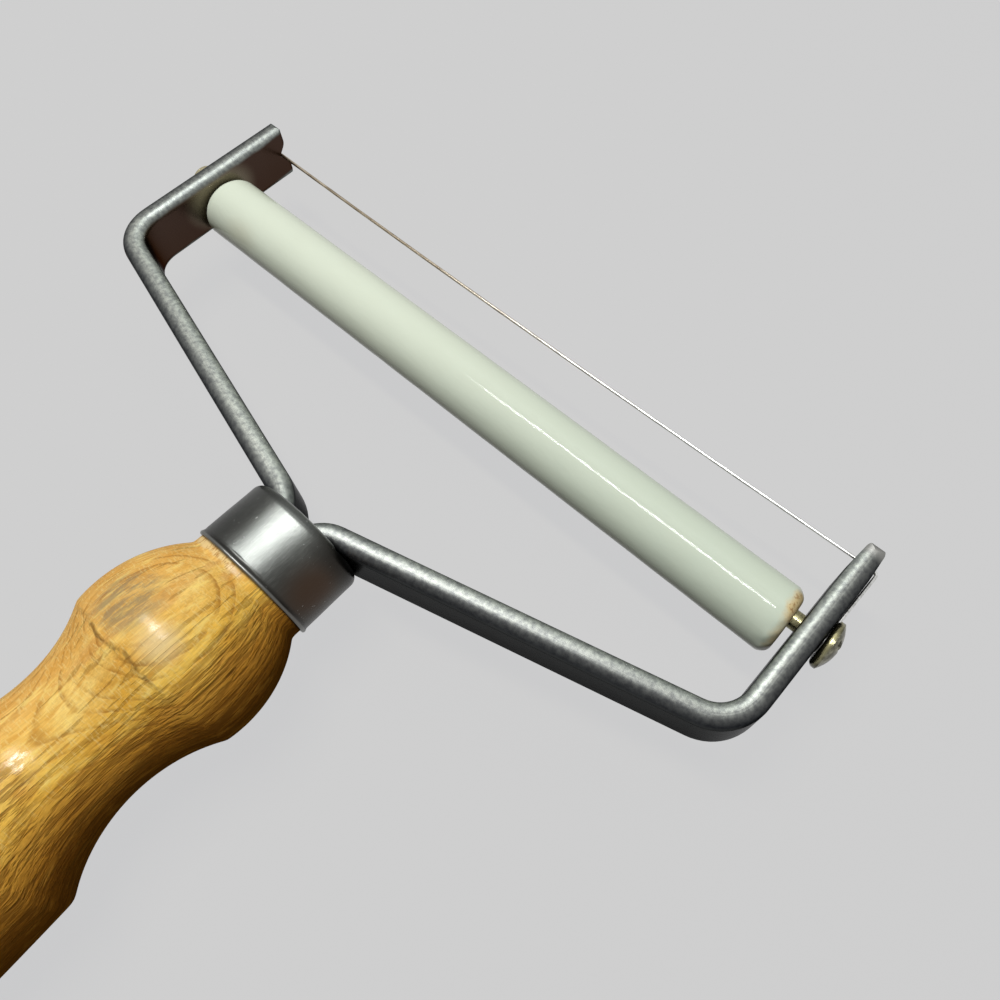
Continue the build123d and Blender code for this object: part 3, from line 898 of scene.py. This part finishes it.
def zinc_colour(tree, x, y, inward, mottle):
    """The rubbed plating of the strips' edges, with painted highlight: brightest where it faces the
    window, and brighter on the arms as painted light.
    """
    zinc = ramp(tree, times_plus(tree, inward, 0.5, 0.5), EDGE_ZINC_AND_HIGHLIGHT)
    zinc = tinted(tree, zinc, ramp(tree, mottle, ZINC_WEAR))
    left_arm = times(tree, fade(tree, x, *LEFT_ARM_X), fade(tree, y, *LEFT_ARM_Y))
    zinc = mix(tree, left_arm, zinc, tinted(tree, zinc, LEFT_ARM_PAINTED_LIGHT))
    right_arm = times(tree, fade(tree, x, *RIGHT_ARM_X), fade(tree, inward, *RIGHT_ARM_INWARD))
    return mix(tree, right_arm, zinc, tinted(tree, zinc, RIGHT_ARM_PAINTED_LIGHT))


def strip_material():
    """Dull steel, dark on its flats and rubbed bright along its rounded edges, with painted
    reflection and shade on the flats and painted highlight on the edges and tips.
    """
    material, tree, shader, place = new_metal("strip_steel")
    shader.inputs["Specular Tint"].default_value = STRIP_TINT
    x, y, z = (coordinate(tree, place, axis) for axis in "XYZ")
    cloud = noise(tree, place, 0.30, 3.0, 0.6)
    mottle = noise(tree, place, 1.5, 4.0, 0.6)
    inward, leant = leaning_in(tree, x)
    height = times_plus(tree, cloud, 0.5, calc(tree, "ABSOLUTE", z))
    flat_end = STRIP_WIDTH / 2 - STRIP_EDGE_RADIUS
    edge = fade(tree, height, *(flat_end + past for past in EDGE_START))
    tip = times(tree, fade(tree, y, *TIP_Y), fade(tree, x, *TIP_X))
    bright = calc(tree, "MAXIMUM", edge, tip)

    lit = fade(tree, times_plus(tree, cloud, 2.0, z), *FLAT_LIT_Z)
    # the flats' colours are painted shade and dark reflection
    flat = layered(tree, mix(tree, lit, FLAT_UNDER_SHADE, FLAT_LIT), [
        (fade(tree, x, *OUTER_RIGHT_X), 0.6, OUTER_RIGHT_SHADE),
        # painted brown reflection on the left ear's inner face
        (fade(tree, x, *INNER_LEFT_X), 0.85, INNER_LEFT_REFLECTION),
        (spot(tree, place, MIRRORED_REACH, 0.45), 0.8, MIRRORED_ROLLER)])
    # the tips and edges carry painted light
    zinc = mix(tree, tip, zinc_colour(tree, x, y, inward, mottle), ZINC_TIP_PAINTED_LIGHT)
    join(tree, mix(tree, bright, flat, zinc), shader.inputs["Base Color"])
    rough = blend_value(tree, bright, 0.24, 0.42)
    join(tree, times_plus(tree, mottle, 0.08, rough), shader.inputs["Roughness"])
    relief = times(tree, mottle, blend_value(tree, bright, 0.3, 0.8))
    join(tree, bump(tree, relief, FINE_RELIEF, leant), shader.inputs["Normal"])
    return material


def screw_material():
    """Worn plating over brass, for the screw and its nut, with a painted glint under the head and
    painted shade below the axle.
    """
    material, tree, shader, place = new_metal("screw_brass")
    x, y, z = (coordinate(tree, place, axis) for axis in "XYZ")
    cloud = noise(tree, place, 0.7, 4.0, 0.6)
    turned_lines = drawn_noise(tree, place, (9.0, 1.2, 1.2), 2.0, 0.6)
    sloped = times_plus(tree, calc(tree, "SUBTRACT", y, AXLE_Y), SHADE_SLOPE, z)
    tone = layered(tree, ramp(tree, cloud, SCREW_CLOUDS), [
        # painted glint under the head
        (fade(tree, x, *UNDER_HEAD_X), 0.6, UNDER_HEAD_GLINT),
        (fade(tree, sloped, *SHADED_Z), 0.85, SCREW_SHADE),
        (fade(tree, x, *NUT_X), 0.6, NUT_YELLOW)])
    join(tree, tone, shader.inputs["Base Color"])
    join(tree, blend_value(tree, cloud, 0.34, 0.16), shader.inputs["Roughness"])
    relief = times_plus(tree, turned_lines, 0.5, cloud)
    join(tree, bump(tree, relief, SCREW_RELIEF), shader.inputs["Normal"])
    return material


def wire_material():
    """Drawn wire, brown on the left and bright on the right."""
    material, tree, shader, place = new_metal("wire_steel")
    cloud = drawn_noise(tree, place, (0.35, 3.0, 3.0), 3.0, 0.6)
    cleaned = fade(tree, coordinate(tree, place, "X"), *WIRE_CLEANED_X)
    tone = mix(tree, cleaned, ramp(tree, cloud, WIRE_BROWN), ramp(tree, cloud, WIRE_WHITE))
    join(tree, tone, shader.inputs["Base Color"])
    join(tree, blend_value(tree, cloud, 0.38, 0.22), shader.inputs["Roughness"])
    join(tree, bump(tree, cloud, WIRE_RELIEF), shader.inputs["Normal"])
    return material


def roller_material():
    """Glossy pale green shell, yellowed and dirty at its worn right end."""
    material, tree, shader = new_material("roller_shell")
    place = millimetres(tree)
    x = coordinate(tree, place, "X")
    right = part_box("roller")[1].x / MM
    end_patch = ((right, ROLLER_AXIS[0] + END_PATCH_OFFSET[0], END_PATCH_OFFSET[1]), END_PATCH_SIZE)
    cloud = noise(tree, place, 0.16, 3.0, 0.6)
    ragged = times_plus(tree, noise(tree, place, 0.7, 3.0, 0.6), 2.2, x)
    upper = spot(tree, place, end_patch, 0.6)
    yellowed = fade(tree, times_plus(tree, upper, 1.1, ragged),
                    *(right + past for past in YELLOWED_REACH))
    dirt = fade(tree, noise(tree, place, 2.6, 3.0, 0.6), 0.54, 0.62)
    tone = mix(tree, fade(tree, x, *SHELL_X), SHELL_RIGHT, SHELL_LEFT)
    tone = layered(tree, tone, [
        (cloud, 0.25, SHELL_CLOUD),
        (spot(tree, place, SMUDGE_REACH, 0.8), 0.3, SMUDGE),
        (yellowed, 0.9, YELLOWED),
        (times(tree, dirt, upper, yellowed), 0.8, END_DIRT)])
    join(tree, tone, shader.inputs["Base Color"])
    shader.inputs["Specular IOR Level"].default_value = 0.12
    rough = blend_value(tree, cloud, 0.05, 0.09)
    join(tree, times_plus(tree, yellowed, 0.3, rough), shader.inputs["Roughness"])
    peel = drawn_noise(tree, place, (0.5, 0.8, 0.8))
    join(tree, bump(tree, peel, SHELL_RELIEF), shader.inputs["Normal"])
    return material


def dress(name, material):
    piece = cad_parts[name]
    piece.data.materials.clear()
    piece.data.materials.append(material)


# The setting
def only_seen(tree):
    """1 for rays from the camera, from gloss and through glass, 0 for the light on the object."""
    path = node(tree, "ShaderNodeLightPath")
    seen = calc(tree, "MAXIMUM", path.outputs["Is Camera Ray"], path.outputs["Is Glossy Ray"])
    return calc(tree, "MAXIMUM", seen, path.outputs["Is Transmission Ray"])


def add_world():
    world = bpy.data.worlds.new("world")
    bpy.context.scene.world = world
    world.use_nodes = True
    tree = world.node_tree
    background = tree.nodes["Background"]
    background.inputs["Color"].default_value = (1, 1, 1, 1)
    strength = blend_value(tree, only_seen(tree), AMBIENT, BACKGROUND)
    join(tree, strength, background.inputs["Strength"])


def add_floor():
    material = bpy.data.materials.new("floor")
    material.use_nodes = True
    tree = material.node_tree
    tree.nodes.clear()
    own = node(tree, "ShaderNodeBsdfDiffuse", {"Color": FLOOR_COLOUR})
    pale = node(tree, "ShaderNodeEmission", {"Color": FLOOR_SEEN})
    share = times(tree, only_seen(tree), 1 - FLOOR_SHOWS_LIGHT)
    both = node(tree, "ShaderNodeMixShader", {0: share, 1: own.outputs[0], 2: pale.outputs[0]})
    node(tree, "ShaderNodeOutputMaterial", {"Surface": both.outputs[0]})
    half = FLOOR_SIZE / 2
    level = CAD_BOX[0][2] - FLOOR_GAP
    corners = [(-half, -half, level), (half, -half, level), (half, half, level), (-half, half, level)]
    mesh_object("floor", corners, [(0, 1, 2, 3)], material)


def add_lamp(name, place, power, size):
    """A rectangular lamp aimed at LAMP_AIM, its first side along X."""
    data = bpy.data.lights.new(name, "AREA")
    data.energy = power
    data.shape = "RECTANGLE"
    data.size, data.size_y = size
    lamp = bpy.data.objects.new(name, data)
    back = (mathutils.Vector(place) - mathutils.Vector(LAMP_AIM)).normalized()
    up = back.cross((1, 0, 0)).normalized()
    turn = mathutils.Matrix((up.cross(back), up, back)).transposed()
    lamp.matrix_world = mathutils.Matrix.Translation(place) @ turn.to_4x4()
    bpy.context.scene.collection.objects.link(lamp)


add_camera()
add_world()
add_floor()
add_lamp("key", KEY_PLACE, KEY_POWER, KEY_SIZE)
add_lamp("fill", FILL_PLACE, FILL_POWER, FILL_SIZE)
bpy.context.scene.view_settings.view_transform = "Standard"

add_handle(wood_material())
add_ferrule(ferrule_material())
add_roller(roller_material())
strip = strip_material()
brass = screw_material()
dress("left_arm", strip)
dress("right_arm", strip)
dress("axle_screw", brass)
dress("axle_nut", brass)
dress("cutting_wire", wire_material())
